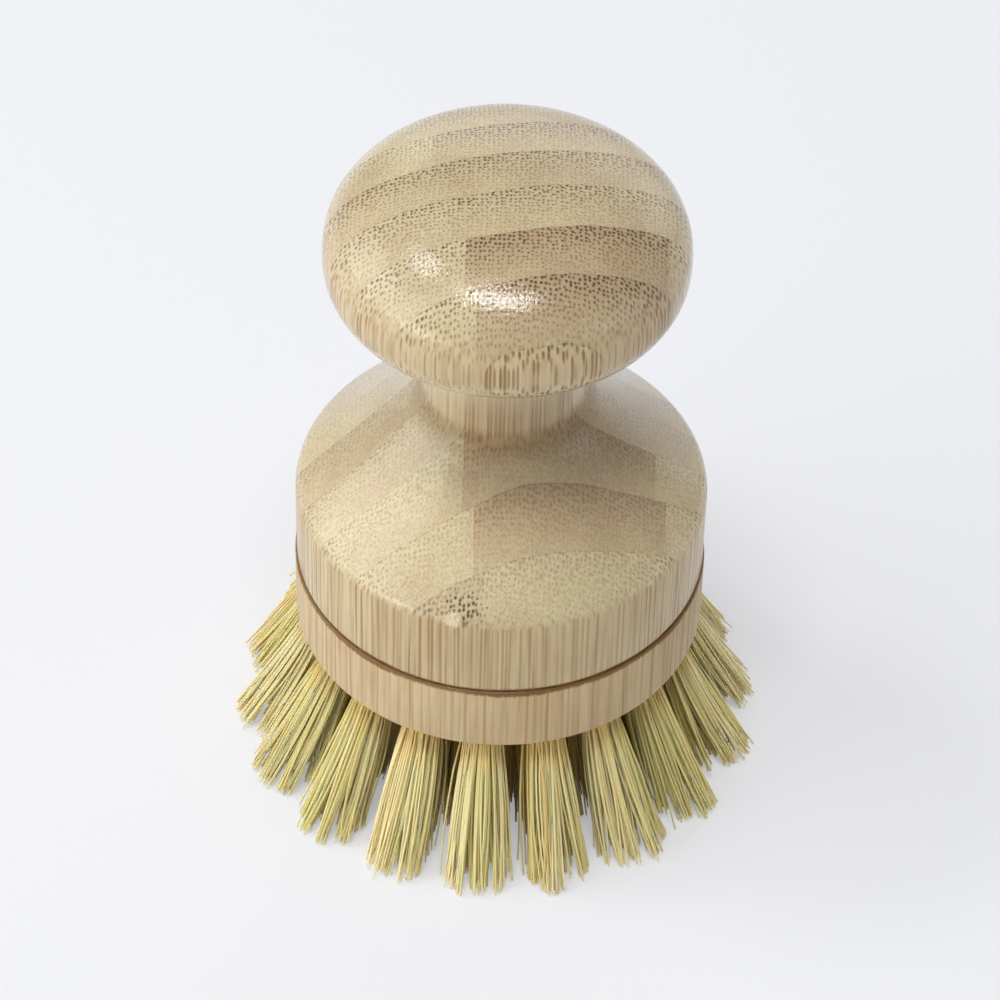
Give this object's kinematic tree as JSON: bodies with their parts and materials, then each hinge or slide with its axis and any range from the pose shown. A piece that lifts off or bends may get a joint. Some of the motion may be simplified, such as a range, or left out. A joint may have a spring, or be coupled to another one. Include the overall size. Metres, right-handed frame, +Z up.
{
  "type": "pot brush",
  "caption": "Palm-held pot scrubbing brush: a turned bamboo knob handle glued over a drilled round plate filled with splayed plant-fibre tufts.",
  "frame": {"origin": "on the turning axis, in the plane of the tuft tips that the brush stands on", "axes": "+Z up through the knob, -Y towards the picture's camera"},
  "size_m": [0.0668, 0.0673, 0.0925],
  "materials": {
    "handle_bamboo": "laminated bamboo, turned, satin varnish",
    "plate_bamboo": "laminated bamboo, turned, satin varnish, darker",
    "plant_fibre": "stiff plant fibre, trimmed",
    "wire_steel": "drawn wire, hidden"
  },
  "bodies": {
    "root": {"handle": "handle_bamboo", "tuft_plate": "plate_bamboo", "tuft_wire": "wire_steel", "tuft_centre_01": "plant_fibre", "tuft_inner_01": "plant_fibre", "tuft_inner_02": "plant_fibre", "tuft_inner_03": "plant_fibre", "tuft_inner_04": "plant_fibre", "tuft_inner_05": "plant_fibre", "tuft_inner_06": "plant_fibre", "tuft_middle_01": "plant_fibre", "tuft_middle_02": "plant_fibre", "tuft_middle_03": "plant_fibre", "tuft_middle_04": "plant_fibre", "tuft_middle_05": "plant_fibre", "tuft_middle_06": "plant_fibre", "tuft_middle_07": "plant_fibre", "tuft_middle_08": "plant_fibre", "tuft_middle_09": "plant_fibre", "tuft_middle_10": "plant_fibre", "tuft_middle_11": "plant_fibre", "tuft_middle_12": "plant_fibre", "tuft_outer_01": "plant_fibre", "tuft_outer_02": "plant_fibre", "tuft_outer_03": "plant_fibre", "tuft_outer_04": "plant_fibre", "tuft_outer_05": "plant_fibre", "tuft_outer_06": "plant_fibre", "tuft_outer_07": "plant_fibre", "tuft_outer_08": "plant_fibre", "tuft_outer_09": "plant_fibre", "tuft_outer_10": "plant_fibre", "tuft_outer_11": "plant_fibre", "tuft_outer_12": "plant_fibre", "tuft_outer_13": "plant_fibre", "tuft_outer_14": "plant_fibre", "tuft_outer_15": "plant_fibre", "tuft_outer_16": "plant_fibre", "tuft_outer_17": "plant_fibre", "tuft_outer_18": "plant_fibre"}
  },
  "joints": []
}
